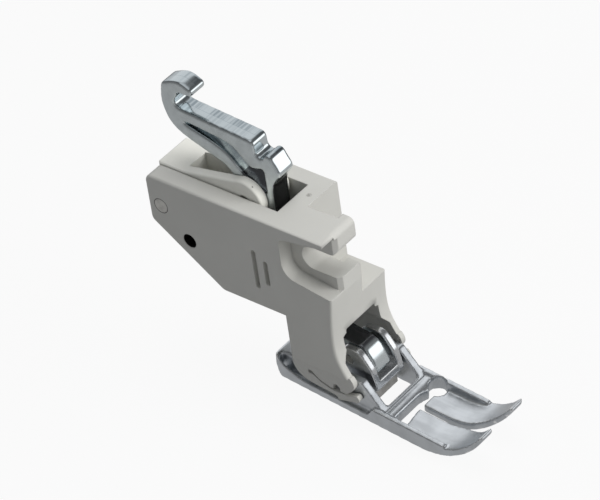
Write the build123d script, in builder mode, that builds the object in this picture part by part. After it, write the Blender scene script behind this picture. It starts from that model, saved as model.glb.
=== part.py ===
import os
from math import cos, radians, sin
from build123d import *

os.makedirs("parts", exist_ok=True)

# X runs across the foot, +Y to its rear and +Z up; the origin is the axis of the clamp screw slot

# Holder body
body_w = 12.0
body_top = 5.6
body_rear = 26.6
rear_drop = 7.7
ramp_run = 11.4
belly_drop = 15.85
corner_r = 1.2
edge_r = 0.4
leg_rear = 4.5
leg_drop = 23.25
wall_t = 2.7
face_set = 4.3
waist_set = 0.65
waist_drop = 17.6
heel_bulge = 6.0
heel_step = 0.5
line_chamfer = 0.15

# Cheeks and spring tongues
cheek_recess = 0.2
cheek_t = 0.85
cheek_drop = 2.65
tongue_t = 0.95
slit_gap = 0.3
relief_r = 0.32
tongue_reach = 6.6

# Presser bar notch
notch_wall = 2.6
notch_side = 0.35
shelf_z = 7.14
rib_reach = 0.75
rib_depth = 1.83
prong_top_r = 0.9
prong_low_r = 1.2
detent_h = 0.5

# Clamp screw slot and the recess round it
slot_r = 1.9
recess_depth = 2.4
recess_rear = 3.68
recess_low = 3.0
recess_fall = 0.95
recess_top_r = 1.1
recess_low_r = 2.4
arm_t_rear = 2.1
arm_t_front = 0.8
arm_setback = 0.2
block_chamfer = 0.6

# Top window and leg passage
window_front = 5.46
floor_t = 1.6
throat_end = 14.6
roof_up = 6.55
flare_up = 3.5
mouth_w = 6.3
mouth_r = 0.6
flare_w = 7.7

# Side slots and the open cross hole
side_slot_w = 0.75
side_slot_depth = 0.7
side_slot_y = 8.5
side_slot_pitch = 1.9
long_slot = 6.6
short_slot = 4.2
side_slot_z = 3.7
cross_hole_r = 1.12
cross_hole_y = 20.01
cross_hole_z = 3.47

# Pins and running fits
rear_pin_r = 1.1
rear_pin_y = 24.36
rear_pin_z = 0.92
lever_pin_r = 0.9
lever_pin_y = 11.4
lever_pin_z = 4.9
feed_pin_r = 0.6
feed_pin_ahead = 0.45
feed_pin_rise = 3.25
running_fit = 0.04
side_play = 0.1
wall_play = 0.2

# Rocker
rocker_arm_t = 1.4
rocker_end_r = 3.0
rocker_bar = 4.4
rocker_rise = 0.2
rocker_rear_gap = 0.2
knuckle_r = 1.9
rocker_edge_r = 0.3

# Drive lever
lever_t = 3.2
hook_top = 19.8
hook_reach = 5.75
hook_t = 1.7
back_y = 25.4
back_t = 2.3
bar_top = 15.15
bar_slope = 0.8
bar_t = 1.9
bar_nose_r = 0.8
strut_t = 1.75
notch_r = 1.15
notch_low = 11.9
nose_y = 5.75
nose_top = 12.8
nose_low = 10.3
neck_y = 7.2
neck_t = 1.4
hub_r = 2.5
shank_t = 3.0
shank_lift = 0.65
pad_ahead = 3.5
pad_top = 1.75
pad_low = 2.4

# Feed bracket and its toothed sole
bracket_arm_t = 1.05
bracket_gap = 0.35
bracket_ahead = 4.45
bracket_fall = 3.9
plate_t = 1.2
plate_len = 4.8
plate_fall = 25.5
bracket_boss_r = 1.95
tooth_block = 3.0
tooth_pitch = 0.75
tooth_depth = 0.35
teeth = 4
sole_dip = 0.25

# Presser foot, in its own frame along the sole
foot_tilt = 5.69
foot_w = 11.0
foot_rear = 6.2
toe_start = 18.5
toe_end = 28.7
toe_rise = 6.43
toe_t = 1.3
toe_tip_t = 0.55
toe_tip_w = 2.8
toe_gap = 0.8
toe_split = 21.5
toe_taper = 0.45
rail_h = 2.5
rail_t = 0.8
rail_end = 22.7
rail_step = 10.0
rim_h = 1.2
rim_t = 0.45
rim_rise = 4.0
deck_w = 8.6
deck_h = 3.45
deck_front = 0.6
pocket_floor = 0.7
heel_up = 2.1
heel_in = 1.5
plan_corner_r = 1.1
ear_t = 1.3
ear_gap = 0.15
ear_h = 5.67
ear_crest = 1.3
ear_front = 12.2
ear_rear = 2.4
well_front = 11.8
well_rear = 0.2
bridge_t = 2.0
bridge_h = 2.1
bridge_fall = 0.45
bridge_sweep = 0.9
needle_gap = 1.3
needle_w = 9.0
relief_out = 4.0
needle_relief_r = 1.3

# Foot pivot
pivot_y = -2.85
pivot_up = 0.35
pivot_h = 3.7
pivot_back = 5.1
stub_r = 0.55
stub_inset = 0.45
notch_fit = 0.05

# Shared planes and lengths worked out from the sizes above
half_w = body_w / 2
belly_z = body_top - belly_drop
leg_z = body_top - leg_drop
cheek_z = leg_z - cheek_drop
cheek_out = half_w - cheek_recess
cheek_in = cheek_out - cheek_t
recess_x = -half_w + recess_depth
roof_z = leg_z + roof_up
window_w = body_w - 2 * wall_t
rocker_w = window_w - 2 * wall_play
rocker_in = rocker_w / 2 - rocker_arm_t
lever_half = rocker_in - side_play
through = 4 * body_w

pivot_z = cheek_z + pivot_up
feed_pin_y = pivot_y - feed_pin_ahead
feed_pin_z = pivot_z + feed_pin_rise

# The foot hangs on its pivot, toes down
tilt_cos = cos(radians(foot_tilt))
tilt_sin = sin(radians(foot_tilt))
foot_origin_y = pivot_y + pivot_back * tilt_cos + pivot_h * tilt_sin
foot_origin_z = pivot_z + pivot_back * tilt_sin - pivot_h * tilt_cos
foot_origin = (0, foot_origin_y, foot_origin_z)
foot_plan = Plane(origin=foot_origin, x_dir=(1, 0, 0), z_dir=(0, -tilt_sin, tilt_cos))
foot_side = Plane(origin=foot_origin, x_dir=(0, tilt_cos, tilt_sin), z_dir=(1, 0, 0))

# Holder body: upper block with the leg below its front
with BuildPart() as holder_body:
    with BuildSketch(Plane.YZ) as block_side:
        with BuildLine():
            Polyline(
                (-face_set, body_top),
                (body_rear, body_top),
                (body_rear, body_top - rear_drop),
                (body_rear - ramp_run, belly_z),
                (leg_rear, belly_z),
                (leg_rear, leg_z),
                (heel_step - heel_bulge, leg_z),
            )
            Spline(
                (heel_step - heel_bulge, leg_z),
                (waist_set - face_set, body_top - waist_drop),
                tangents=((1, 1.6), (0, 1)),
            )
            Spline(
                (waist_set - face_set, body_top - waist_drop),
                (-face_set, -face_set),
                tangents=((0, 1), (-0.12, 1)),
            )
            Line((-face_set, -face_set), (-face_set, body_top))
        make_face()
        ramp_corners = block_side.vertices().sort_by(Axis.X)[-3:]
        fillet(ramp_corners, radius=corner_r)
    extrude(amount=half_w, both=True)
    side_faces = holder_body.faces().filter_by(Axis.X)
    rounded = side_faces.edges().filter_by_position(Axis.Z, leg_z + edge_r, body_top)
    fillet(rounded, radius=edge_r)
    sill = holder_body.edges().group_by(Axis.Z)[0].filter_by(Axis.Y)
    chamfer(sill, length=line_chamfer)

    # Cheeks and the tongues that hold the foot's pivot, cut from one outline
    with BuildSketch(Plane.YZ):
        with BuildLine():
            Line((leg_rear, leg_z + edge_r), (leg_rear, leg_z - cheek_recess))
            Spline(
                (leg_rear, leg_z - cheek_recess),
                (leg_rear - tongue_t, leg_z - 0.9 * cheek_drop),
                (0.4 * leg_rear, cheek_z - tongue_t / 2),
                (pivot_y, cheek_z - 1.35 * tongue_t),
                (-tongue_reach + tongue_t, cheek_z - tongue_t),
                tangents=((0, -1), (-1, 0.3)),
            )
            ThreePointArc(
                (-tongue_reach + tongue_t, cheek_z - tongue_t),
                (-tongue_reach, cheek_z - tongue_t / 3),
                (-tongue_reach + tongue_t / 3, cheek_z + tongue_t / 4),
            )
            Polyline(
                (-tongue_reach + tongue_t / 3, cheek_z + tongue_t / 4),
                (pivot_y - 3 * stub_r, cheek_z - slit_gap),
                (pivot_y + 2 * stub_r, cheek_z - slit_gap),
                (0, cheek_z + slit_gap),
                (leg_rear - 3 * tongue_t, leg_z - cheek_drop / 2),
            )
            Polyline(
                (leg_rear - 3 * tongue_t, leg_z - cheek_drop / 2),
                (leg_rear - 3 * tongue_t - slit_gap, leg_z - cheek_drop / 2 + slit_gap),
                (0, cheek_z + 2 * slit_gap),
                (pivot_y + 2 * stub_r, cheek_z),
                (pivot_y - 3 * stub_r, cheek_z),
            )
            Spline(
                (pivot_y - 3 * stub_r, cheek_z),
                (-heel_bulge, leg_z - cheek_drop / 3),
                (heel_step - heel_bulge, leg_z + edge_r),
                tangents=((-1, 0.7), (1, 1)),
            )
            Line((heel_step - heel_bulge, leg_z + edge_r), (leg_rear, leg_z + edge_r))
        make_face()
    extrude(amount=cheek_out, both=True)
    with BuildSketch(Plane.YZ):
        with Locations((leg_rear - 3 * tongue_t, leg_z - cheek_drop / 2)):
            Circle(relief_r)
        with Locations((pivot_y, pivot_z)):
            Circle(stub_r + notch_fit)
        with Locations((pivot_y, cheek_z)):
            Rectangle(2 * (stub_r + notch_fit), 2 * (pivot_z - cheek_z))
    extrude(amount=through, both=True, mode=Mode.SUBTRACT)

    # Passage through the leg for the lever and the feed bracket
    with BuildSketch(Plane.XZ.offset(-body_rear)) as mouth:
        with BuildLine():
            Polyline(
                (-mouth_w / 2, roof_z),
                (mouth_w / 2, roof_z),
                (mouth_w / 2, roof_z - mouth_r),
                (flare_w / 2, roof_z - 1.5 * mouth_r),
                (flare_w / 2, leg_z + flare_up),
                (cheek_in, leg_z + 0.6 * flare_up),
                (cheek_in, cheek_z - 3 * tongue_t),
                (-cheek_in, cheek_z - 3 * tongue_t),
                (-cheek_in, leg_z + 0.6 * flare_up),
                (-flare_w / 2, leg_z + flare_up),
                (-flare_w / 2, roof_z - 1.5 * mouth_r),
                (-mouth_w / 2, roof_z - mouth_r),
                (-mouth_w / 2, roof_z),
            )
        make_face()
        fillet(mouth.vertices().group_by(Axis.Y)[-1], radius=mouth_r / 2)
    extrude(amount=2 * body_rear, mode=Mode.SUBTRACT)

    # Window in the top, open at the rear, with its throat down to the leg
    with BuildSketch(Plane.YZ):
        with BuildLine():
            Polyline(
                (window_front, body_top + floor_t),
                (body_rear + floor_t, body_top + floor_t),
                (body_rear + floor_t, rear_pin_z - knuckle_r - wall_play),
                (rear_pin_y - 2 * knuckle_r, rear_pin_z - knuckle_r - wall_play),
                (throat_end, belly_z + 2 * floor_t),
                (throat_end, belly_z - floor_t),
                (window_front, belly_z - floor_t),
                close=True,
            )
        make_face()
    extrude(amount=window_w / 2, both=True, mode=Mode.SUBTRACT)

    # Presser bar notch, open to the far side, the front and the top
    with BuildSketch(Plane.XY.offset(-shelf_z)):
        with BuildLine():
            Polyline(
                (-notch_side, notch_wall),
                (through, notch_wall),
                (through, -face_set - body_w),
                (rib_reach, -face_set - body_w),
                (rib_reach, rib_depth - face_set),
                (-notch_side, rib_depth - face_set),
                close=True,
            )
        make_face()
    extrude(amount=shelf_z + body_top + floor_t, mode=Mode.SUBTRACT)

    # Recess in the near side with a round-ended slot for the clamp screw
    with BuildSketch(Plane.YZ.offset(-half_w - floor_t)) as recess:
        with BuildLine():
            Polyline(
                (-2 * face_set, body_top - arm_t_front + (arm_t_rear - arm_t_front) / 2),
                (-face_set, body_top - arm_t_front),
                (recess_rear, body_top - arm_t_rear),
                (recess_rear, -recess_low + recess_fall / 4),
                (-face_set, -recess_low - recess_fall),
                (-2 * face_set, -recess_low - 2 * recess_fall),
                close=True,
            )
        make_face()
        recess_ends = recess.vertices().group_by(Axis.X)[-1].sort_by(Axis.Y)
        fillet(recess_ends[0], radius=recess_low_r)
        fillet(recess.vertices().group_by(Axis.X)[-1].sort_by(Axis.Y)[-1], radius=recess_top_r)
    extrude(amount=recess_depth + floor_t, mode=Mode.SUBTRACT)
    with BuildSketch(Plane.YZ.offset(recess_x - floor_t)):
        Circle(slot_r)
        with Locations((-face_set, 0)):
            Rectangle(2 * face_set, 2 * slot_r)
    extrude(amount=recess_depth + floor_t + 2 * rib_reach, mode=Mode.SUBTRACT)

    # Rounded prong above the slot, rounded front end of the near arm and the block's eased corner
    with BuildSketch(Plane.YZ.offset(recess_x)):
        with Locations((-face_set, body_top)):
            Rectangle(2 * prong_top_r, 2 * prong_top_r)
        with Locations((prong_top_r - face_set, body_top - prong_top_r)):
            Circle(prong_top_r, mode=Mode.SUBTRACT)
    extrude(amount=through, mode=Mode.SUBTRACT)
    with BuildSketch(Plane.YZ.offset(recess_x)):
        with Locations((-face_set, slot_r)):
            Rectangle(2 * prong_low_r, 2 * prong_low_r)
        with Locations((prong_low_r - face_set, slot_r + prong_low_r)):
            Circle(prong_low_r, mode=Mode.SUBTRACT)
    extrude(amount=through, mode=Mode.SUBTRACT)
    arm_end_y = arm_setback + arm_t_front / 2 - face_set
    with BuildSketch(Plane.YZ.offset(-half_w)):
        with Locations((arm_end_y - face_set, body_top - arm_t_front / 2)):
            Rectangle(2 * face_set, 2 * arm_t_front)
        with Locations((arm_end_y, body_top - arm_t_front / 2)):
            Circle(arm_t_front / 2, mode=Mode.SUBTRACT)
    extrude(amount=recess_depth, mode=Mode.SUBTRACT)
    with BuildSketch(Plane.XY.offset(-recess_low - recess_fall)):
        with Locations((recess_x, -face_set)):
            RegularPolygon(block_chamfer, 4)
    extrude(amount=recess_low + recess_fall + body_top - arm_t_front, mode=Mode.SUBTRACT)

    # Rounded detent on the rib at the mouth of the slot
    with BuildSketch(Plane.YZ.offset(-notch_side)) as detent:
        with Locations((rib_depth / 2 - face_set, -slot_r)):
            Rectangle(rib_depth, 2 * detent_h)
        fillet(detent.vertices(), radius=0.9 * detent_h)
    extrude(amount=notch_side + rib_reach)

    # Two blind marks in the near side and the open cross hole
    with BuildSketch(Plane.YZ.offset(-half_w)):
        with Locations((side_slot_y, -side_slot_z)):
            SlotOverall(long_slot, side_slot_w, rotation=90)
        with Locations((side_slot_y - side_slot_pitch, -side_slot_z)):
            SlotOverall(short_slot, side_slot_w, rotation=90)
    extrude(amount=side_slot_depth, mode=Mode.SUBTRACT)
    with BuildSketch(Plane.YZ.offset(-half_w)):
        with Locations((cross_hole_y, -cross_hole_z)):
            Circle(cross_hole_r)
    extrude(amount=body_w - wall_t, mode=Mode.SUBTRACT)
    with BuildSketch(Plane.YZ):
        with Locations((rear_pin_y, rear_pin_z)):
            Circle(rear_pin_r)
    extrude(amount=through, both=True, mode=Mode.SUBTRACT)

holder_body.part.label = "holder_body"
export_step(holder_body.part, "parts/holder_body.step")

# Rear pin
with BuildPart() as rear_pin:
    with BuildSketch(Plane.YZ):
        with Locations((rear_pin_y, rear_pin_z)):
            Circle(rear_pin_r)
    extrude(amount=half_w, both=True)

rear_pin.part.label = "rear_pin"
export_step(rear_pin.part, "parts/rear_pin.step")

# Rocker: two arms and a rear bar
rocker_top = body_top + rocker_rise
rocker_rear = body_rear - rocker_rear_gap
with BuildPart() as rocker:
    with BuildSketch(Plane.YZ):
        with BuildLine():
            Polyline(
                (rocker_rear, rocker_top),
                (rocker_rear - rocker_bar, rocker_top),
                (lever_pin_y + rocker_end_r / 2, lever_pin_z + 0.93 * rocker_end_r),
            )
            ThreePointArc(
                (lever_pin_y + rocker_end_r / 2, lever_pin_z + 0.93 * rocker_end_r),
                (lever_pin_y - rocker_end_r * cos(radians(45)), lever_pin_z + rocker_end_r * sin(radians(45))),
                (lever_pin_y - rocker_end_r * cos(radians(45)), lever_pin_z - rocker_end_r * sin(radians(45))),
            )
            Polyline(
                (lever_pin_y - rocker_end_r * cos(radians(45)), lever_pin_z - rocker_end_r * sin(radians(45))),
                (lever_pin_y + rocker_end_r / 2, lever_pin_z - rocker_end_r),
                (rear_pin_y, rear_pin_z - knuckle_r),
            )
            Polyline(
                (rear_pin_y, rear_pin_z - knuckle_r),
                (rocker_rear, rear_pin_z - knuckle_r / 2),
                (rocker_rear, rocker_top),
            )
        make_face()
    extrude(amount=rocker_w / 2, both=True)
    fillet(rocker.faces().filter_by(Axis.X).edges(), radius=rocker_edge_r)
    with BuildSketch(Plane.YZ):
        with Locations(((rocker_rear - rocker_bar) / 2, 0)):
            Rectangle(rocker_rear - rocker_bar, through)
    extrude(amount=rocker_in, both=True, mode=Mode.SUBTRACT)
    with BuildSketch(Plane.YZ):
        with Locations((rear_pin_y, rear_pin_z)):
            Circle(rear_pin_r + running_fit)
        with Locations((lever_pin_y, lever_pin_z)):
            Circle(lever_pin_r)
    extrude(amount=through, both=True, mode=Mode.SUBTRACT)

rocker.part.label = "rocker"
export_step(rocker.part, "parts/rocker.step")

# Lever pin
with BuildPart() as lever_pin:
    with BuildSketch(Plane.YZ):
        with Locations((lever_pin_y, lever_pin_z)):
            Circle(lever_pin_r)
    extrude(amount=rocker_w / 2, both=True)

lever_pin.part.label = "lever_pin"
export_step(lever_pin.part, "parts/lever_pin.step")

# Drive lever: hook, back, open triangle, nose, neck, hub and the shank that reaches forward
hook_tip = back_y - hook_reach
bar_front_y = neck_y + hub_r
bar_front_z = bar_top - bar_slope
gullet_y = back_y - back_t
heel_y = lever_pin_y + 2 * hub_r
heel_z = lever_pin_z + 1.55 * hub_r
with BuildPart() as drive_lever:
    with BuildSketch(Plane.YZ) as lever_side:
        with BuildLine():
            ThreePointArc(
                (hook_tip + 0.2 * hook_t, hook_top - 1.1 * hook_t),
                (hook_tip, hook_top - 0.7 * hook_t),
                (hook_tip + 0.4 * hook_t, hook_top - 0.3 * hook_t),
            )
            Spline(
                (hook_tip + 0.4 * hook_t, hook_top - 0.3 * hook_t),
                (hook_tip + 0.46 * hook_reach, hook_top),
                (back_y - 0.6 * hook_t, hook_top - 0.45 * hook_t),
                (back_y - 0.15 * hook_t, hook_top - hook_t),
                tangents=((1, 0.7), (0.15, -1)),
            )
            Spline(
                (back_y - 0.15 * hook_t, hook_top - hook_t),
                (back_y, bar_top + hook_t / 4),
                (back_y - back_t / 4, bar_top - bar_t),
                (back_y - 1.8 * back_t, bar_top - 2.5 * bar_t),
                tangents=((0.15, -1), (-1, -0.4)),
            )
            Line((back_y - 1.8 * back_t, bar_top - 2.5 * bar_t), (heel_y, heel_z))
            ThreePointArc(
                (heel_y, heel_z),
                (lever_pin_y + 1.35 * hub_r, lever_pin_z + 1.15 * hub_r),
                (lever_pin_y + hub_r, lever_pin_z),
            )
            ThreePointArc(
                (lever_pin_y + hub_r, lever_pin_z),
                (lever_pin_y + hub_r * cos(radians(45)), lever_pin_z - hub_r * sin(radians(45))),
                (lever_pin_y, lever_pin_z - hub_r),
            )
            Line((lever_pin_y, lever_pin_z - hub_r), (neck_y + shank_t, roof_z + 1.5 * shank_t))
            ThreePointArc(
                (neck_y + shank_t, roof_z + 1.5 * shank_t),
                (neck_y + 0.6 * shank_t, roof_z - 0.2 * shank_t),
                (leg_rear, feed_pin_z + feed_pin_r),
            )
            Polyline(
                (leg_rear, feed_pin_z + feed_pin_r),
                (feed_pin_y + 2 * feed_pin_r, feed_pin_z - 0.7 * pad_low),
                (feed_pin_y - 0.87 * pad_ahead, feed_pin_z - pad_low),
            )
            ThreePointArc(
                (feed_pin_y - 0.87 * pad_ahead, feed_pin_z - pad_low),
                (feed_pin_y - 0.98 * pad_ahead, feed_pin_z - 0.95 * pad_low),
                (feed_pin_y - pad_ahead, feed_pin_z - 0.8 * pad_low),
            )
            Spline(
                (feed_pin_y - pad_ahead, feed_pin_z - 0.8 * pad_low),
                (feed_pin_y - 0.66 * pad_ahead, feed_pin_z + 0.35 * pad_top),
                (feed_pin_y - 0.15 * pad_ahead, feed_pin_z + pad_top),
                tangents=((0.45, 1), (1, 0.15)),
            )
            Line((feed_pin_y - 0.15 * pad_ahead, feed_pin_z + pad_top), (0, feed_pin_z + 1.35 * pad_top))
            ThreePointArc(
                (0, feed_pin_z + 1.35 * pad_top),
                (neck_y - 0.3 * shank_t, roof_z - 2 * shank_lift),
                (neck_y, roof_z + shank_lift),
            )
            Line((neck_y, roof_z + shank_lift), (neck_y, lever_pin_z + 0.7 * hub_r))
            Spline(
                (neck_y, lever_pin_z + 0.7 * hub_r),
                (nose_y, nose_low),
                (neck_y - 0.15 * hub_r, nose_top - 0.22 * hub_r),
                tangents=((0, 1), (0.5, 1)),
            )
            ThreePointArc(
                (neck_y - 0.15 * hub_r, nose_top - 0.22 * hub_r),
                (neck_y + 0.12 * hub_r, nose_top),
                (neck_y + 0.4 * hub_r, notch_low + 0.2 * hub_r),
            )
            ThreePointArc(
                (neck_y + 0.4 * hub_r, notch_low + 0.2 * hub_r),
                (neck_y + 0.74 * hub_r, notch_low),
                (bar_front_y, notch_low + 0.25 * hub_r),
            )
            Line((bar_front_y, notch_low + 0.25 * hub_r), (bar_front_y + 0.1 * bar_nose_r, bar_front_z - bar_nose_r))
            ThreePointArc(
                (bar_front_y + 0.1 * bar_nose_r, bar_front_z - bar_nose_r),
                (bar_front_y + 0.35 * bar_nose_r, bar_front_z - 0.3 * bar_nose_r),
                (bar_front_y + bar_nose_r, bar_front_z),
            )
            Line((bar_front_y + bar_nose_r, bar_front_z), (gullet_y - 0.7 * hook_t, bar_top))
            Spline(
                (gullet_y - 0.7 * hook_t, bar_top),
                (gullet_y, bar_top + 0.6 * hook_t),
                (gullet_y - 0.4 * hook_t, hook_top - 1.4 * hook_t),
                (gullet_y - hook_t, hook_top - 1.08 * hook_t),
                tangents=((1, 0.1), (-1, 0.02)),
            )
            Line(
                (gullet_y - hook_t, hook_top - 1.08 * hook_t),
                (hook_tip + 0.2 * hook_t, hook_top - 1.1 * hook_t),
            )
        make_face()
        with BuildLine():
            Spline(
                (gullet_y - 0.3 * hook_t, bar_top - bar_t),
                (heel_y, bar_top - 1.27 * bar_t),
                (heel_y - 1.2 * hub_r, bar_top - 1.7 * bar_t),
                (lever_pin_y - 0.3 * hub_r, bar_top - 2.9 * bar_t),
                (neck_y + neck_t, notch_low - 0.9 * bar_t),
                tangents=((-1, 0.02), (-1, 0.3)),
            )
            Line((neck_y + neck_t, notch_low - 0.9 * bar_t), (neck_y + neck_t, lever_pin_z + 0.5 * hub_r))
            Line((neck_y + neck_t, lever_pin_z + 0.5 * hub_r), (lever_pin_y + 0.3 * hub_r, lever_pin_z + 1.2 * hub_r))
            Spline(
                (lever_pin_y + 0.3 * hub_r, lever_pin_z + 1.2 * hub_r),
                (heel_y - 0.6 * hub_r, heel_z + strut_t),
                (gullet_y - 0.3 * hook_t, bar_top - bar_t),
                tangents=((1, 1), (1, 0.55)),
            )
        make_face(mode=Mode.SUBTRACT)
    extrude(amount=lever_half, both=True)
    with BuildSketch(Plane.YZ):
        with Locations((lever_pin_y, lever_pin_z)):
            Circle(lever_pin_r + running_fit)
        with Locations((feed_pin_y, feed_pin_z)):
            Circle(feed_pin_r)
    extrude(amount=through, both=True, mode=Mode.SUBTRACT)

drive_lever.part.label = "drive_lever"
export_step(drive_lever.part, "parts/drive_lever.step")

# Feed pin
bracket_in = lever_half + bracket_gap
bracket_out = bracket_in + bracket_arm_t
with BuildPart() as feed_pin:
    with BuildSketch(Plane.YZ):
        with Locations((feed_pin_y, feed_pin_z)):
            Circle(feed_pin_r)
    extrude(amount=bracket_out, both=True)

feed_pin.part.label = "feed_pin"
export_step(feed_pin.part, "parts/feed_pin.step")

# Feed bracket: two arms folded up from a sloping plate
bracket_front = feed_pin_y - bracket_ahead
bracket_low = feed_pin_z - bracket_fall
fall_y = cos(radians(plate_fall))
fall_z = -sin(radians(plate_fall))
plate_rear_y = bracket_front + plate_len * fall_y
plate_rear_z = bracket_low + plate_len * fall_z
with BuildPart() as feed_bracket:
    with BuildSketch(Plane.YZ):
        with BuildLine():
            Polyline(
                (bracket_front, bracket_low),
                (plate_rear_y, plate_rear_z),
                (plate_rear_y - plate_t * fall_z, plate_rear_z + plate_t * fall_y),
                (feed_pin_y + bracket_boss_r, feed_pin_z),
            )
            ThreePointArc(
                (feed_pin_y + bracket_boss_r, feed_pin_z),
                (feed_pin_y + bracket_boss_r * cos(radians(45)), feed_pin_z + bracket_boss_r * sin(radians(45))),
                (feed_pin_y, feed_pin_z + bracket_boss_r),
            )
            Spline(
                (feed_pin_y, feed_pin_z + bracket_boss_r),
                (feed_pin_y - 0.47 * bracket_ahead, feed_pin_z + 0.8 * bracket_boss_r),
                (feed_pin_y - 0.7 * bracket_ahead, feed_pin_z + 0.15 * bracket_boss_r),
                (bracket_front, bracket_low),
                tangents=((-1, 0), (-0.2, -1)),
            )
        make_face()
    extrude(amount=bracket_out, both=True)
    with BuildSketch(Plane.YZ):
        with BuildLine():
            Polyline(
                (bracket_front - plate_t * fall_z - through * fall_y, bracket_low + plate_t * fall_y - through * fall_z),
                (bracket_front - plate_t * fall_z + through * fall_y, bracket_low + plate_t * fall_y + through * fall_z),
                (bracket_front + through, through),
                (bracket_front - through, through),
                close=True,
            )
        make_face()
    extrude(amount=bracket_in, both=True, mode=Mode.SUBTRACT)
    with BuildSketch(Plane.YZ):
        with Locations((feed_pin_y, feed_pin_z)):
            Circle(feed_pin_r + running_fit)
    extrude(amount=through, both=True, mode=Mode.SUBTRACT)

feed_bracket.part.label = "feed_bracket"
export_step(feed_bracket.part, "parts/feed_bracket.step")

# Toothed sole under the plate
tooth_front_y = plate_rear_y - tooth_block * fall_y
tooth_front_z = plate_rear_z - tooth_block * fall_z
sole_low = foot_origin_z + (plate_rear_y - foot_origin_y) * tilt_sin / tilt_cos - sole_dip
with BuildPart() as feed_sole:
    with BuildSketch(Plane.YZ):
        with BuildLine():
            Polyline(
                (tooth_front_y, tooth_front_z),
                (plate_rear_y, plate_rear_z),
                (plate_rear_y, sole_low),
                (tooth_front_y, sole_low),
                close=True,
            )
        make_face()
        with Locations(((tooth_front_y + plate_rear_y) / 2, sole_low)):
            with GridLocations(tooth_pitch, 1, teeth, 1):
                RegularPolygon(tooth_depth, 4, mode=Mode.SUBTRACT)
    extrude(amount=bracket_out, both=True)

feed_sole.part.label = "feed_sole"
export_step(feed_sole.part, "parts/feed_sole.step")

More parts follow.
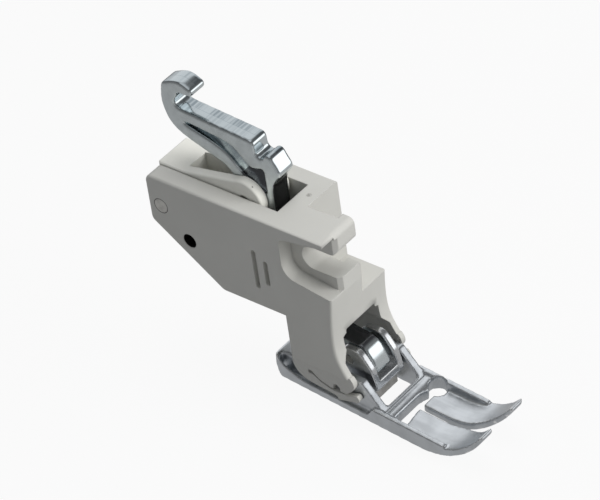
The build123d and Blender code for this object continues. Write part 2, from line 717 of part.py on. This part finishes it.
# Presser foot: base and curled toes from a side profile, trimmed by the plan
toe_run = toe_end - toe_start
toe_r = (toe_run**2 + toe_rise**2) / (2 * toe_rise)
tip_u = -toe_end + toe_tip_t * toe_run / toe_r
tip_h = toe_rise + toe_tip_t * (toe_r - toe_rise) / toe_r
foot_half = foot_w / 2
tip_half = foot_half - toe_taper
tip_cut = toe_end - toe_tip_t / 4
needle_rear = well_front + bridge_t
needle_front = needle_rear + needle_gap
with BuildPart() as presser_foot:
    with BuildSketch(foot_side):
        with BuildLine():
            Line((-toe_start, 0), (foot_rear - heel_in, 0))
            Spline(
                (foot_rear - heel_in, 0),
                (foot_rear - heel_in / 2, heel_up / 2),
                (foot_rear, heel_up),
                tangents=((1, 0.4), (1, 1.4)),
            )
            Polyline((foot_rear, heel_up), (foot_rear, deck_h), (foot_rear - heel_in / 2, deck_h))
            Spline(
                (foot_rear - heel_in / 2, deck_h),
                (foot_rear - 1.2 * heel_in, rim_h + heel_up / 2),
                (foot_rear - rim_rise, rim_h + heel_up / 8),
                (-deck_front, rim_h),
                tangents=((-0.3, -1), (-1, 0)),
            )
            Polyline((-deck_front, rim_h), (-rail_step, rim_h), (-toe_start, toe_t))
            TangentArc((-toe_start, toe_t), (tip_u, tip_h), tangent=(-1, 0))
            Line((tip_u, tip_h), (-toe_end, toe_rise))
            TangentArc((-toe_start, 0), (-toe_end, toe_rise), tangent=(-1, 0))
        make_face()
    extrude(amount=foot_half, both=True)

    # Rails along the toes, ending in a small step
    with BuildSketch(foot_side.offset(foot_half - rail_t)) as rail_side:
        with BuildLine():
            Polyline(
                (-rail_step, rim_h / 2),
                (-rail_step, rim_h),
                (-rail_step - rail_t, rail_h),
                (-rail_end, rail_h),
                (-rail_end, rim_h),
                (-toe_start, rim_h / 2),
                close=True,
            )
        make_face()
    rail = extrude(amount=rail_t)
    mirror(rail, about=Plane.YZ)

    # Rear deck, with a pocket on each side inside the rim
    with BuildSketch(foot_side):
        with BuildLine():
            Polyline(
                (deck_front - deck_h / 2, rim_h / 2),
                (deck_front - deck_h / 2, rim_h),
                (deck_front, deck_h),
                (foot_rear, deck_h),
                (foot_rear, heel_up),
                (foot_rear - heel_in, rim_h / 2),
                close=True,
            )
        make_face()
    extrude(amount=deck_w / 2, both=True)
    pocket_w = foot_half - rim_t - deck_w / 2
    pocket_len = foot_rear - heel_in / 2 + deck_front
    with BuildSketch(foot_plan.offset(pocket_floor)) as pockets:
        with Locations((0, pocket_len / 2 - deck_front)):
            with GridLocations(deck_w + pocket_w, 1, 2, 1):
                Rectangle(pocket_w, pocket_len)
    extrude(amount=deck_h, mode=Mode.SUBTRACT)

    # Plan outline with rounded corners
    with BuildSketch(foot_plan.offset(-rail_h)) as plan:
        with BuildLine():
            Polyline(
                (-foot_half, -rail_end),
                (-foot_half, foot_rear),
                (foot_half, foot_rear),
                (foot_half, -rail_end),
            )
            ThreePointArc(
                (foot_half, -rail_end),
                (foot_half - toe_taper / 3, -(rail_end + tip_cut) / 2),
                (tip_half, -tip_cut),
            )
            Line((tip_half, -tip_cut), (-tip_half, -tip_cut))
            ThreePointArc(
                (-tip_half, -tip_cut),
                (toe_taper / 3 - foot_half, -(rail_end + tip_cut) / 2),
                (-foot_half, -rail_end),
            )
        make_face()
        fillet(plan.vertices().group_by(Axis.Y)[-1], radius=plan_corner_r)
        fillet(plan.vertices().group_by(Axis.Y)[0], radius=plan_corner_r)
    extrude(amount=4 * toe_r, mode=Mode.INTERSECT)

    # Ears
    ear_out = cheek_in - ear_gap
    ear_in = ear_out - ear_t
    with BuildSketch(foot_side) as ear_side:
        with BuildLine():
            Polyline(
                (-ear_front, rim_h / 2),
                (-ear_front, bridge_h),
                (-pivot_back - 2.7 * ear_crest, ear_h),
                (-pivot_back - 1.6 * ear_crest, ear_h),
                (-pivot_back + ear_crest, pivot_h + ear_crest),
                (-ear_rear, pivot_h - ear_crest),
                (-ear_rear, rim_h / 2),
                close=True,
            )
        make_face()
        fillet(ear_side.vertices().group_by(Axis.Y)[-1], radius=ear_crest / 4)
    extrude(amount=ear_out, both=True)

    # Bridge ahead of the feed well
    with BuildSketch(foot_side):
        with BuildLine():
            Polyline((-needle_rear - bridge_sweep, rim_h / 2), (-well_front, rim_h / 2), (-well_front, bridge_h - bridge_fall))
            Spline(
                (-well_front, bridge_h - bridge_fall),
                (-(well_front + needle_rear) / 2, bridge_h),
                (-needle_rear - bridge_sweep, bridge_h - 1.5 * bridge_fall),
                tangents=((-1, 0.6), (-1, -0.6)),
            )
            Line(
                (-needle_rear - bridge_sweep, bridge_h - 1.5 * bridge_fall),
                (-needle_rear - bridge_sweep, rim_h / 2),
            )
        make_face()
    extrude(amount=foot_half - rail_t / 2, both=True)

    # Feed well, needle opening and the split between the toes
    with BuildSketch(foot_plan.offset(-rail_h)):
        with Locations((0, (well_rear - well_front) / 2)):
            Rectangle(2 * ear_in, well_front + well_rear)
    extrude(amount=4 * toe_r, mode=Mode.SUBTRACT)
    with BuildSketch(foot_plan.offset(-rail_h)) as needle_hole:
        with BuildLine():
            Polyline(
                (relief_out - needle_relief_r / 2, -needle_front),
                (-needle_gap, -needle_front),
                (-needle_w / 2, -needle_front - bridge_fall),
                (-needle_w / 2, -needle_rear),
                (toe_gap, -needle_rear),
            )
            ThreePointArc(
                (toe_gap, -needle_rear),
                (relief_out / 2, -needle_rear - bridge_sweep / 4),
                (relief_out - needle_relief_r / 2, -needle_rear - bridge_sweep),
            )
            Line(
                (relief_out - needle_relief_r / 2, -needle_rear - bridge_sweep),
                (relief_out - needle_relief_r / 2, -needle_front),
            )
        make_face()
        fillet(needle_hole.vertices().group_by(Axis.X)[0], radius=bridge_fall)
        with Locations((relief_out, -needle_rear - bridge_sweep - bridge_fall / 4)):
            Circle(needle_relief_r)
    extrude(amount=4 * toe_r, mode=Mode.SUBTRACT)
    toe_in = tip_half - toe_tip_w
    with BuildSketch(foot_plan.offset(-rail_h)) as split:
        with BuildLine():
            Line((toe_gap / 2, -needle_rear - needle_gap / 2), (toe_gap / 2, -toe_split))
            Spline(
                (toe_gap / 2, -toe_split),
                (toe_in, -toe_end),
                tangents=((0, -1), (0.2, -1)),
            )
            Polyline((toe_in, -toe_end), (toe_in, -toe_end - toe_t), (0, -toe_end - toe_t))
            Polyline((0, -toe_end - toe_t), (0, -needle_rear - needle_gap / 2), (toe_gap / 2, -needle_rear - needle_gap / 2))
        make_face()
        mirror(about=Plane.YZ)
    extrude(amount=4 * toe_r, mode=Mode.SUBTRACT)

    # Pivot stubs on the ears, clear of the well
    with BuildSketch(foot_side):
        with Locations((-pivot_back, pivot_h)):
            Circle(stub_r)
    extrude(amount=cheek_out - stub_inset, both=True)
    with BuildSketch(foot_side):
        with Locations((-pivot_back, pivot_h)):
            Circle(2 * stub_r)
    extrude(amount=ear_in, both=True, mode=Mode.SUBTRACT)

presser_foot.part.label = "presser_foot"
export_step(presser_foot.part, "parts/presser_foot.step")
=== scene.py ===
import bmesh
import bpy
import numpy as np
from mathutils import Matrix, Vector


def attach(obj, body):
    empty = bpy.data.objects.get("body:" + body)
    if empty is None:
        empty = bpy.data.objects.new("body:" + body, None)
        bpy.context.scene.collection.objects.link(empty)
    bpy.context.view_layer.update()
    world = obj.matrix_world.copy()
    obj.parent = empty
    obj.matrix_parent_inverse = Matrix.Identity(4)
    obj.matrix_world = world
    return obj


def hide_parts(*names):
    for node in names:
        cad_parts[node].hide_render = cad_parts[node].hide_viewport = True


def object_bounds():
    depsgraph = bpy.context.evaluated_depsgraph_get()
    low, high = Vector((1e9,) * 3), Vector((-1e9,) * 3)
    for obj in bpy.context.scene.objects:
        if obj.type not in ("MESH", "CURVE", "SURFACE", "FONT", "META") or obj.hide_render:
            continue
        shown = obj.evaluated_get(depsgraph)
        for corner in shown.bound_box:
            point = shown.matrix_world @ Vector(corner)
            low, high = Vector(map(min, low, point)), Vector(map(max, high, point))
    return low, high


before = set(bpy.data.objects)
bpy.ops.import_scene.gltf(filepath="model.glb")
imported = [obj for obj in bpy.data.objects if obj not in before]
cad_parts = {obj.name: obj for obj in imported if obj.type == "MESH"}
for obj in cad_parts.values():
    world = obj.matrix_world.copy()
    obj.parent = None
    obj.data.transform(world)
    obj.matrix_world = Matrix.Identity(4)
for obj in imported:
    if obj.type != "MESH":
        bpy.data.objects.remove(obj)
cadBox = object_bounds()
print("frame loaded")

mm = 0.001
mergeReach = 0.001 * mm


class Sum:
    # wraps a socket, so that shader maths reads as an expression
    def __init__(self, nodes, socket):
        self.nodes = nodes
        self.socket = socket

    def join(self, operation, first, second=0.0):
        return self.nodes.add("ShaderNodeMath", {"operation": operation}, {0: first, 1: second}).out()

    def __add__(self, other):
        return self.join("ADD", self, other)

    def __radd__(self, other):
        return self.join("ADD", other, self)

    def __sub__(self, other):
        return self.join("SUBTRACT", self, other)

    def __rsub__(self, other):
        return self.join("SUBTRACT", other, self)

    def __mul__(self, other):
        return self.join("MULTIPLY", self, other)

    def __rmul__(self, other):
        return self.join("MULTIPLY", other, self)

    def __abs__(self):
        return self.join("ABSOLUTE", self)

    def root(self):
        return self.join("SQRT", self)

    def above(self, level):
        return self.join("GREATER_THAN", self, level)

    def below(self, level):
        return self.join("LESS_THAN", self, level)

    def most(self, other):
        return self.join("MAXIMUM", self, other)

    def ramp(self, low, high):
        # 0 below low, 1 above high, eased at both ends
        return self.nodes.add("ShaderNodeMapRange", {"interpolation_type": "SMOOTHSTEP"},
                              {"Value": self, "From Min": low, "From Max": high}).out()


class Added:
    # a node that add made, whose outputs are read by name or place
    def __init__(self, nodes, node):
        self.nodes = nodes
        self.node = node

    def out(self, name=0):
        return Sum(self.nodes, self.node.outputs[name])


class Nodes:
    # a material's or the world's nodes: every one comes from add(type, settings, inputs)
    def __init__(self, tree):
        self.tree = tree

    def add(self, kind, settings=None, inputs=None):
        node = self.tree.nodes.new(kind)
        for name, value in (settings or {}).items():
            setattr(node, name, value)
        for name, value in (inputs or {}).items():
            if isinstance(value, Sum):
                self.tree.links.new(value.socket, node.inputs[name])
            else:
                node.inputs[name].default_value = value
        return Added(self, node)

    def glow(self, colour, strength=1.0):
        return self.add("ShaderNodeEmission", {}, {"Color": colour, "Strength": strength}).out()

    def grey(self, tone, tint=(1.0, 1.0, 1.0)):
        # one tone as a colour, its three parts times the tint
        parts = {place: tone if share == 1.0 else tone * share for place, share in enumerate(tint)}
        return self.add("ShaderNodeCombineXYZ", {}, parts).out()

    def choose(self, mask, hidden, shown):
        # the second shader where the mask is 1, the first elsewhere
        return self.add("ShaderNodeMixShader", {}, {0: mask, 1: hidden, 2: shown}).out()


class Finish(Nodes):
    # one material on Object coordinates; fixed holds the sockets that stay the same all over
    def __init__(self, name, fixed):
        self.material = bpy.data.materials.new(name)
        self.material.use_nodes = True
        super().__init__(self.material.node_tree)
        self.shader = self.tree.nodes["Principled BSDF"]
        for socket, value in fixed.items():
            self.shader.inputs[socket].default_value = value
        self.place = self.add("ShaderNodeTexCoord").out("Object")
        split = self.add("ShaderNodeSeparateXYZ", {}, {0: self.place})
        self.x, self.y, self.z = split.out("X"), split.out("Y"), split.out("Z")

    def noise(self, scale, detail, stretch=(1, 1, 1)):
        mapped = self.add("ShaderNodeMapping", {}, {"Vector": self.place, "Scale": stretch}).out()
        inputs = {"Vector": mapped, "Scale": scale, "Detail": detail}
        return self.add("ShaderNodeTexNoise", {}, inputs).out()

    def reach(self, y, z):
        # distance from a line along X through the point y, z
        return ((self.y - y) * (self.y - y) + (self.z - z) * (self.z - z)).root()

    def near(self, point, radius):
        # 1 at a point, fading to 0 from half the radius to the whole of it
        inputs = {0: self.place, 1: point}
        away = self.add("ShaderNodeVectorMath", {"operation": "DISTANCE"}, inputs).out("Value")
        return 1.0 - away.ramp(radius * 0.5, radius)

    def rim(self, low, high):
        # 1 on edges that stand out, from how sharply the mesh turns there
        return self.add("ShaderNodeNewGeometry").out("Pointiness").ramp(low, high)

    def facing(self, axis):
        # how far the surface faces along X, Y or Z, -1 to 1
        normal = self.add("ShaderNodeNewGeometry").out("Normal")
        return self.add("ShaderNodeSeparateXYZ", {}, {0: normal}).out(axis)

    def blendColour(self, mask, first, second):
        inputs = {"Factor": mask, 6: first, 7: second}
        return self.add("ShaderNodeMix", {"data_type": "RGBA"}, inputs).out(2)

    def feed(self, name, value):
        self.tree.links.new(value.socket, self.shader.inputs[name])

    def relief(self, height, depth, corner=0.0):
        # height 0 to 1 raised by depth in metres, over edges rounded by corner
        inputs = {"Height": height, "Strength": 1.0, "Distance": depth}
        if corner:
            inputs["Normal"] = self.add("ShaderNodeBevel", {"samples": 6}, {"Radius": corner}).out()
        self.feed("Normal", self.add("ShaderNodeBump", {}, inputs).out())

    def show(self, shaded):
        self.tree.links.new(shaded.socket, self.tree.nodes["Material Output"].inputs["Surface"])
        self.material.cycles.emission_sampling = "NONE"  # it glows, but isn't a lamp


def linear(red, green, blue):
    # a colour written 0 to 255 as it shows, made linear for the shader by the usual display curve
    parts = [c / 255 for c in (red, green, blue)]
    return tuple(c / 12.92 if c < 0.04045 else ((c + 0.055) / 1.055) ** 2.4 for c in parts) + (1.0,)


def addObject(name, data):
    item = bpy.data.objects.new(name, data)
    bpy.context.scene.collection.objects.link(item)
    return item


def dress(item, finish):
    item.data.materials.clear()
    item.data.materials.append(finish.material)


def joinedCopy(node, name):
    # the node's loose triangles joined at the points they share
    work = bmesh.new()
    work.from_mesh(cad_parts[node].data)
    bmesh.ops.remove_doubles(work, verts=work.verts, dist=mergeReach)
    mesh = bpy.data.meshes.new(name)
    work.to_mesh(mesh)
    work.free()
    return addObject(name, mesh)


def settle(item):
    # the mesh with its modifiers applied
    bpy.context.view_layer.update()
    live = item.evaluated_get(bpy.context.evaluated_depsgraph_get())
    made = bpy.data.meshes.new_from_object(live)
    item.modifiers.clear()
    item.data = made


def rollEdges(node, name, values):
    # polishing and plating leave a metal's edges rolled over: a skin of small squares, eased in rounds
    item = joinedCopy(node, name)
    skin = item.modifiers.new("skin", "REMESH")
    skin.mode = "VOXEL"
    skin.voxel_size = values["fineness"]
    roll = item.modifiers.new("roll", "SMOOTH")
    roll.factor = values["easing"]
    roll.iterations = values["rounds"]
    settle(item)
    item.data.shade_smooth()
    return item


def openSlot(item, low, high):
    # cuts a square passage through the piece between two corners given in mm
    low, high = np.array(low) * mm, np.array(high) * mm
    corner = np.array([[x, y, z] for x in (0, 1) for y in (0, 1) for z in (0, 1)])
    sides = [(0, 1, 3, 2), (4, 6, 7, 5), (0, 4, 5, 1), (2, 3, 7, 6), (0, 2, 6, 4), (1, 5, 7, 3)]
    mesh = bpy.data.meshes.new("passage")
    mesh.from_pydata((low + corner * (high - low)).tolist(), [], sides)
    tool = addObject("passage", mesh)
    cut = item.modifiers.new("cut", "BOOLEAN")
    cut.object, cut.operation, cut.solver = tool, "DIFFERENCE", "EXACT"
    settle(item)
    bpy.data.objects.remove(tool)


def standsFor(item, node, body):
    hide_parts(node)
    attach(item, body)


# in the values below, a noise is its scale, detail and stretch, and a span is where a mask starts and is full


def plasticFinish(name, values):
    # moulded plastic: faint cloud and grain, painted shade inside the blind hole, a thin ring of painted
    # shade in the gap round the pin, one spot
    finish = Finish(name, {"IOR": 1.5})
    cloud = finish.noise(*values["cloud"])
    grain = finish.noise(*values["grain"])
    plain = finish.blendColour(cloud, linear(*values["colour"]), linear(*values["darker"]))
    # painted shade: the blind hole's inside, past the near face, made nearly black
    holeShade = finish.reach(*values["hole"]).below(values["holeReach"]) * finish.x.above(values["side"])
    offPin = abs(finish.reach(*values["pin"]) - values["pinRadius"])
    # painted shade: a thin dark ring in the gap between the pin and its bore
    pinGapShade = offPin.below(values["pinGapShadeWidth"])
    toned = finish.blendColour(pinGapShade, plain, linear(*values["pinGapShadeTone"]))
    broken = finish.noise(*values["spotGrain"]).ramp(*values["spotSpan"])
    spot = finish.near(values["spot"], values["spotRadius"]) * broken
    spotted = finish.blendColour(spot, toned, linear(*values["spotTone"]))
    finish.feed("Base Color", finish.blendColour(holeShade, spotted, linear(*values["holeShadeTone"])))
    finish.feed("Roughness", values["rough"] + (cloud - 0.5) * values["roughSwing"])
    finish.relief(grain, values["grainDepth"], values["corner"])
    return finish


def leverFinish(name, values):
    # blanked from plate: satin flanks, and sheared edges polished across, with a parting line along them;
    # painted shade greys the up-facing edges, more on the far half, and darkens what sits in the hollow below
    # the nose
    finish = Finish(name, {"Metallic": 1.0})
    flank = abs(finish.facing("X")).ramp(*values["flankSpan"])
    tool = finish.noise(*values["tool"])
    broad = finish.noise(*values["broad"])
    cloud = finish.noise(*values["cloud"])
    marked = finish.z.above(values["markedAbove"]) * finish.facing("Z").ramp(*values["markedSpan"])
    line = abs(finish.x).below(values["lineWidth"]) * marked
    drawn = tool * values["toolShare"] + broad * (1.0 - values["toolShare"])
    streaks = drawn.ramp(*values["streakSpan"])
    # painted shade: the far half's streaks are made stronger, so that half shows darker
    amount = values["streaksNear"] + finish.x.above(0.0) * values["streaksFarShade"]
    # real polishing streaks over a base of painted shade on the up-facing edges
    streaksAndShade = (values["paintedUpShade"] + streaks * amount) * marked
    streaksLineAndShade = streaksAndShade.most(line * values["lineDark"])
    edge = finish.blendColour(streaksLineAndShade, linear(*values["edge"]), linear(*values["edgeDark"]))
    cloudy = cloud.ramp(*values["cloudSpan"])
    plain = finish.blendColour(cloudy, linear(*values["flank"]), linear(*values["flankDark"]))
    # painted shade where the lever sits in the dark hollow: low faces that don't face the front, and the
    # whole neck between the two heights
    hollowShadeLow = finish.z.below(values["hollowShadeFrom"]) * finish.facing("Y").ramp(*values["hollowShadeSpan"])
    between = finish.z.above(values["hollowShadeFrom"]) * finish.z.below(values["hollowShadeTo"])
    edge = finish.blendColour(hollowShadeLow.most(between), edge, linear(*values["hollowShade"]))
    finish.feed("Base Color", finish.blendColour(flank, edge, plain))
    rougher = values["flankRough"] - values["edgeRough"]
    finish.feed("Roughness", values["edgeRough"] + flank * rougher + cloud * values["cloudRough"])
    height = tool * (1.0 - flank) * marked + cloud * values["cloudHeight"]
    finish.relief(height, values["toolDepth"])
    return finish


def castFinish(name, values):
    # plated casting, rubbed along its length, smoother where its edges stand out, with a painted highlight on
    # those edges
    finish = Finish(name, {"Metallic": 1.0})
    cloud = finish.noise(*values["cloud"])
    rub = finish.noise(*values["rub"])
    share = values["cloudShare"]
    wear = (cloud * share + rub * (1.0 - share)).ramp(*values["wearSpan"])
    rim = finish.rim(*values["rimSpan"])
    plain = finish.blendColour(wear, linear(*values["light"]), linear(*values["deep"]))
    # painted highlight: edges that stand out get a near-white colour
    finish.feed("Base Color", finish.blendColour(rim, plain, linear(*values["rim"])))
    swing = (wear - 0.5) * values["roughSwing"]
    finish.feed("Roughness", values["rough"] + swing - rim * values["rimPolish"])
    finish.relief(rub, values["rubDepth"], values["corner"])
    return finish


plastic = {  # what the holder and the rocker share
    "rough": 0.45, "roughSwing": 0.1, "cloud": (160.0, 2.0),
    "grain": (5200.0, 2.0), "grainDepth": 0.006 * mm, "corner": 0.2 * mm,
    # the hole's tone below is the colour of the painted shade inside the blind hole
    "hole": (20.01 * mm, -3.47 * mm), "holeReach": 1.1424 * mm, "holeShadeTone": (16, 15, 14), "side": -5.9 * mm,
    # the pin values below place the thin ring of painted shade round the pin, and give its width and its tone
    "pin": (24.36 * mm, 0.92 * mm), "pinRadius": 1.1 * mm, "pinGapShadeWidth": 0.11 * mm, "pinGapShadeTone": (70, 68, 65),
    "spotGrain": (6000.0, 2.0), "spotSpan": (0.35, 0.6),
}

print("holder")
holder = {
    **plastic, "colour": (207, 206, 200), "darker": (200, 199, 193),
    "spot": (1.635 * mm, 3.96 * mm, 5.6 * mm), "spotRadius": 0.5 * mm, "spotTone": (150, 148, 142),
    "slotLow": (-0.6, -6.5, -1.895), "slotHigh": (1.2, -2.44, 1.895),  # the clamp slot's way out in front
}
holderPiece = joinedCopy("holder_body", "holder_moulded")
openSlot(holderPiece, holder["slotLow"], holder["slotHigh"])
standsFor(holderPiece, "holder_body", "holder")
dress(holderPiece, plasticFinish("holderPlastic", holder))

print("rocker")
rocker = {  # whiter than the holder: partly paler plastic, partly painted light against the shade the lever and the lamps leave on it
    **plastic, "colour": (243, 242, 234), "darker": (238, 237, 228),
    "spot": (-2.69 * mm, 9.98 * mm, 7.58 * mm), "spotRadius": 0.22 * mm, "spotTone": (30, 28, 26),
}
dress(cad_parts["rocker"], plasticFinish("rockerPlastic", rocker))

print("lever")
lever = {
    "fineness": 0.14 * mm, "easing": 0.5, "rounds": 40,
    "edge": (230, 237, 239), "edgeDark": (140, 150, 156), "edgeRough": 0.1,
    "flank": (222, 229, 231), "flankDark": (212, 219, 221), "flankRough": 0.36, "flankSpan": (0.8, 0.97),
    "cloud": (700.0, 4.0), "cloudSpan": (0.35, 0.7), "cloudRough": 0.06, "cloudHeight": 0.2,
    "tool": (2400.0, 4.0, (0.04, 1, 1)), "toolDepth": 0.003 * mm, "toolShare": 0.55,
    "broad": (480.0, 3.0, (0.15, 1, 1)), "streakSpan": (0.4, 0.68),
    "streaksNear": 0.25, "streaksFarShade": 0.35,  # how strong the streaks are on the near half, and the painted shade that makes them stronger on the far half
    # the first value below is the painted shade that greys every up-facing edge
    "paintedUpShade": 0.55, "markedAbove": -8 * mm, "markedSpan": (0.55, 0.8),
    "lineWidth": 0.035 * mm, "lineDark": 0.8,
    # painted shade for the lever inside the holder's dark hollow: its colour and where it reaches
    "hollowShade": (112, 114, 118), "hollowShadeFrom": -6 * mm, "hollowShadeTo": 8.3 * mm, "hollowShadeSpan": (-0.62, -0.4),
}
leverPiece = rollEdges("drive_lever", "lever_plated", lever)
standsFor(leverPiece, "drive_lever", "lever")
dress(leverPiece, leverFinish("leverChrome", lever))

print("foot")
foot = {
    "fineness": 0.17 * mm, "easing": 0.5, "rounds": 7,
    "light": (218, 222, 226), "deep": (206, 210, 214), "rough": 0.34, "roughSwing": 0.06,
    "cloud": (420.0, 4.0), "cloudShare": 0.6, "wearSpan": (0.38, 0.66),
    "rub": (1500.0, 3.0, (1, 0.08, 0.3)), "rubDepth": 0.001 * mm, "corner": 0.0,
    # the rim colour is a painted highlight on edges that stand out; the polish makes them smoother as well
    "rim": (252, 253, 254), "rimSpan": (0.52, 0.57), "rimPolish": 0.12,
}
footPiece = rollEdges("presser_foot", "foot_plated", foot)
standsFor(footPiece, "presser_foot", "foot")
dress(footPiece, castFinish("footChrome", foot))

print("bracket")
bracket = {
    **foot, "fineness": 0.12 * mm, "rounds": 6, "light": (232, 234, 236), "deep": (216, 218, 220),
    "rough": 0.22, "rub": (1500.0, 3.0, (1, 1, 0.2)),
}
bracketPiece = rollEdges("feed_bracket", "bracket_plated", bracket)
standsFor(bracketPiece, "feed_bracket", "feed")
dress(bracketPiece, castFinish("bracketNickel", bracket))

print("pins and sole")
pins = {
    "light": (208, 207, 203), "deep": (186, 185, 181), "rough": 0.42, "roughSwing": 0.06,
    "cloud": (420.0, 4.0), "cloudShare": 0.6, "wearSpan": (0.38, 0.66),
    "rub": (1500.0, 3.0), "rubDepth": 0.001 * mm, "corner": 0.12 * mm,
    # the rim colour is a painted highlight, set high so it reaches only the sharpest edges
    "rim": (252, 253, 254), "rimSpan": (0.9, 0.95), "rimPolish": 0.12,
}
pinFinish = castFinish("pinSteel", pins)
for node in ("rear_pin", "lever_pin", "feed_pin", "feed_sole"):
    dress(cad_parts[node], pinFinish)


def gridMesh(name, points, columns, rows):
    # a sheet of columns by rows points, each square joining a point to the next one and the row above
    mesh = bpy.data.meshes.new(name)
    column, row = np.meshgrid(np.arange(columns - 1), np.arange(rows - 1))
    corner = (row * columns + column).ravel()
    faces = np.stack([corner, corner + 1, corner + columns + 1, corner + columns], axis=1)
    mesh.from_pydata(points.tolist(), [], faces.tolist())
    return addObject(name, mesh)


paper = {
    "drop": 0.4 * mm, "size": 0.6, "points": 9, "tone": 0.45, "rough": 0.9,
    "mirrored": 0.4, "white": 0.93,  # its glow in mirrors, and how much of the glow covers the shade
}


def makeFloor(values):
    # a flat square just under the object, white to the camera and darker in what the metal mirrors
    side = np.linspace(-values["size"] / 2, values["size"] / 2, values["points"])
    x, y = np.meshgrid(side, side)
    height = np.full(x.size, cadBox[0][2] - values["drop"])
    points = np.stack([x.ravel(), y.ravel(), height], axis=1)
    floor = gridMesh("floor", points, values["points"], values["points"])
    tone = (values["tone"],) * 3 + (1,)
    finish = Finish("floorPaper", {"Roughness": values["rough"], "Base Color": tone})
    path = finish.add("ShaderNodeLightPath")
    seen = path.out("Is Camera Ray")
    shade = seen + (1.0 - seen) * values["mirrored"]
    mask = seen.most(path.out("Is Glossy Ray")) * values["white"]
    lit = Sum(finish, finish.shader.outputs[0])
    finish.show(finish.choose(mask, lit, finish.glow(finish.grey(shade))))
    floor.data.materials.append(finish.material)


dome = {
    "radius": 0.2, "columns": 73, "rows": 25, "shade": 0.17, "tint": (1.0, 1.01, 1.02),
    "fields": (  # direction, angular radius and soft rim in degrees, brightness
        ((0.56, -0.78, 0.3), 15, 4, 1.3),
        ((0.1, 0.1, 1.0), 13, 13, 0.8),
        ((0.64, 0.56, 0.56), 24, 15, 0.97),
        ((-0.8, -0.5, 0.35), 10, 12, 0.4),
    ),
}


def makeDome(values):
    # half a globe that only mirrors see: points at even turns and rises on one radius, and brightness
    # that eases from each field's own to the dome's shade across the field's rim
    columns, rows = values["columns"], values["rows"]
    turn, rise = np.meshgrid(np.linspace(0, 2 * np.pi, columns), np.linspace(0, np.pi / 2, rows))
    aim = np.stack([np.cos(turn) * np.cos(rise), np.sin(turn) * np.cos(rise), np.sin(rise)], axis=-1)
    aim = aim.reshape(-1, 3)
    points = aim * values["radius"]
    points[:, 2] += cadBox[0][2]
    item = gridMesh("dome", points, columns, rows)
    shade = np.full(len(aim), values["shade"])
    for toward, radius, rim, bright in values["fields"]:
        centre = np.array(toward) / np.linalg.norm(toward)
        angle = np.degrees(np.arccos(np.clip(aim @ centre, -1, 1)))
        weight = np.clip((radius + rim - angle) / rim, 0, 1)
        shade = np.maximum(shade, bright * weight * weight * (3 - 2 * weight))
    item.data.attributes.new("shade", "FLOAT", "POINT").data.foreach_set("value", shade)
    finish = Finish("domeGlow", {})
    tone = finish.add("ShaderNodeAttribute", {"attribute_name": "shade"}).out("Fac")
    mirrored = finish.add("ShaderNodeLightPath").out("Is Glossy Ray")
    clear = finish.add("ShaderNodeBsdfTransparent").out()
    finish.show(finish.choose(mirrored, clear, finish.glow(finish.grey(tone, values["tint"]))))
    item.data.materials.append(finish.material)


lamps = {
    "keyLight": {"place": (0.08, 0.02, 0.5), "size": (0.35, 0.35), "power": 1.2},
    "frontLight": {"place": (0.16, -0.45, 0.22), "size": (0.36, 0.3), "power": 2.0},
}


def softBox(name, values):
    # a broad lamp that looks at the object; the dome is what the metal mirrors
    lamp = bpy.data.lights.new(name, "AREA")
    lamp.shape = "RECTANGLE"
    lamp.size, lamp.size_y = values["size"]
    lamp.energy = values["power"]
    item = addObject(name, lamp)
    item.location = values["place"]
    item.rotation_euler = (-Vector(values["place"])).to_track_quat("-Z", "Y").to_euler()
    item.visible_glossy = False


sky = {"colour": (0.92, 0.95, 1.0, 1), "shade": 0.28}


def makeWorld(values):
    # soft light from all round, and plain white for the camera, mirrors and clear things
    world = bpy.data.worlds.new("studio")
    bpy.context.scene.world = world
    world.use_nodes = True
    world.node_tree.nodes.clear()
    nodes = Nodes(world.node_tree)
    path = nodes.add("ShaderNodeLightPath")
    mask = path.out("Is Camera Ray") + path.out("Is Glossy Ray") + path.out("Is Transmission Ray")
    soft = nodes.add("ShaderNodeBackground", {}, {"Color": values["colour"], "Strength": values["shade"]})
    white = nodes.add("ShaderNodeBackground", {}, {"Color": (1, 1, 1, 1), "Strength": 1.0})
    nodes.add("ShaderNodeOutputWorld", {}, {0: nodes.choose(mask, soft.out(), white.out())})


# the photograph's own view: the lens's place in mm, and the picture's right and back directions
photoView = {
    "eye": (-303.713, -285.024, 332.846), "right": (0.61526, -0.77946, -0.11789),
    "back": (-0.56424, -0.53986, 0.62465), "lens": 240.0, "sensor": 36.0, "nearest": 0.01, "furthest": 10.0,
}


def makeCamera(values):
    right, back = Vector(values["right"]), Vector(values["back"])
    camera = bpy.data.cameras.new("camera")
    camera.sensor_fit = "HORIZONTAL"
    camera.sensor_width = values["sensor"]
    camera.lens = values["lens"]
    camera.clip_start = values["nearest"]
    camera.clip_end = values["furthest"]
    item = addObject("camera", camera)
    turn = Matrix((right, back.cross(right), back)).transposed().to_4x4()
    item.matrix_world = Matrix.Translation(Vector(values["eye"]) * mm) @ turn
    bpy.context.scene.camera = item


print("studio")
makeFloor(paper)
makeDome(dome)
for lampName, lampValues in lamps.items():
    softBox(lampName, lampValues)
makeWorld(sky)
makeCamera(photoView)
bpy.context.scene.view_settings.view_transform = "Standard"

print("done")
